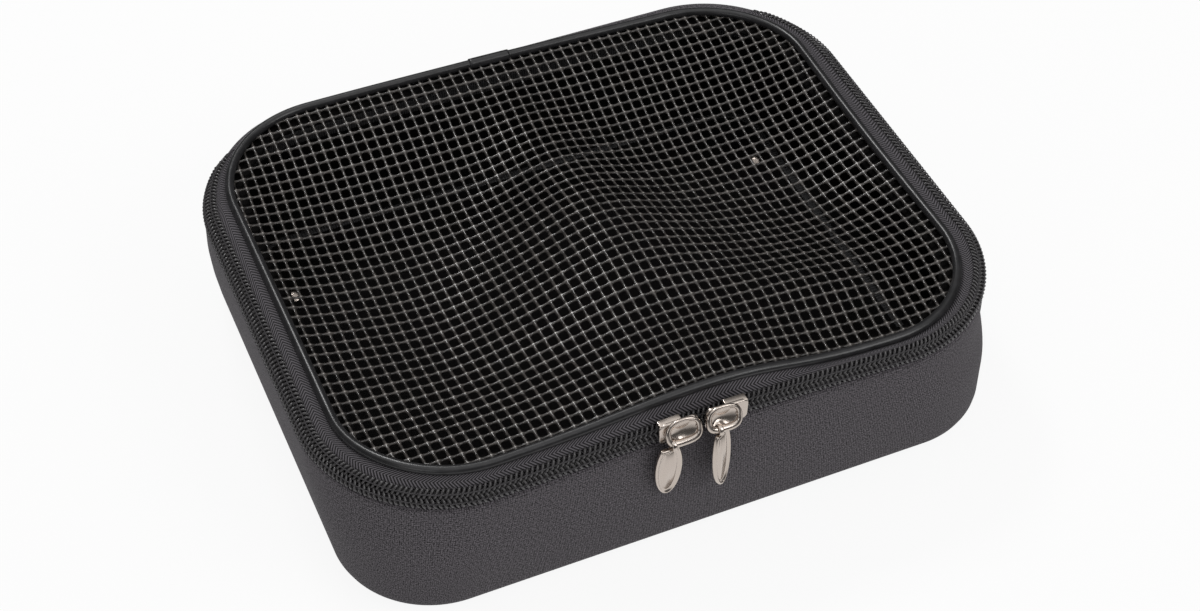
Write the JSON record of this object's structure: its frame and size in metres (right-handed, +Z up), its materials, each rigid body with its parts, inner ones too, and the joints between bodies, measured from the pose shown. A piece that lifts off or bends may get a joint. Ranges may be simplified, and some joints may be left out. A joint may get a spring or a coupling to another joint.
{
  "type": "soft zip case with mesh lid",
  "caption": "Rounded rectangular soft case, padded fabric tub with a net lid on a fabric hinge, closed by a coil zipper whose sliders carry oval pulls",
  "frame": {"origin": "middle of the underside, on the surface the case stands on", "axes": "+X along the front to the right, +Y from front to hinge, +Z up"},
  "size_m": [0.246, 0.2072, 0.0638],
  "materials": {
    "shell_fabric": "matt woven",
    "lining": "matt woven",
    "padding": "closed-cell foam",
    "board": "plain sheet",
    "binding": "ribbed tape",
    "zipper_tape": "herringbone tape",
    "zipper_coil": "moulded monofilament",
    "vinyl_net": "glossy vinyl coating",
    "piping_vinyl": "satin",
    "cord": "spun cord",
    "nickel": "polished nickel plate"
  },
  "bodies": {
    "case_base": {"side_wall": "shell_fabric", "base_panel": "shell_fabric", "wall_foam": "padding", "base_board": "board", "wall_lining": "lining", "floor_lining": "lining", "wall_binding": "binding", "floor_binding": "binding", "rivet_caps": "nickel", "rivet_posts": "nickel", "lower_tape": "zipper_tape", "lower_coil": "zipper_coil", "zipper_end_tabs": "binding", "hinge_strip_lower": "shell_fabric"},
    "lid": {"hinge_strip_upper": "shell_fabric", "upper_tape": "zipper_tape", "upper_coil": "zipper_coil", "piping_cover": "piping_vinyl", "piping_cord": "cord", "piping_sleeve": "piping_vinyl", "rim_facing": "binding", "lid_mesh": "vinyl_net"},
    "left_slider": {"left_slider_body": "nickel", "left_slider_bridge": "nickel"},
    "right_slider": {"right_slider_body": "nickel", "right_slider_bridge": "nickel"},
    "left_pull": {"left_pull": "nickel"},
    "right_pull": {"right_pull": "nickel"}
  },
  "joints": [
    {"name": "lid_hinge", "type": "hinge", "parent": "case_base", "child": "lid", "pos_m": [0, 0.0992, 0.0527], "axis": [-1, 0, 0], "range_deg": [0, 180]},
    {"name": "left_slider_travel", "type": "slide", "parent": "case_base", "child": "left_slider", "axis": [-0.9992, 0, -0.0389], "range_m": [0, 0.05]},
    {"name": "right_slider_travel", "type": "slide", "parent": "case_base", "child": "right_slider", "axis": [0.9994, 0, -0.0345], "range_m": [0, 0.059]},
    {"name": "left_pull_swing", "type": "hinge", "parent": "left_slider", "child": "left_pull", "pos_m": [-0.01474, -0.1035, 0.05349], "axis": [-0.9992, 0, -0.0389], "range_deg": [0, 140]},
    {"name": "right_pull_swing", "type": "hinge", "parent": "right_slider", "child": "right_pull", "pos_m": [0.00075, -0.1035, 0.05373], "axis": [-0.9994, 0, 0.0345], "range_deg": [0, 140]}
  ]
}
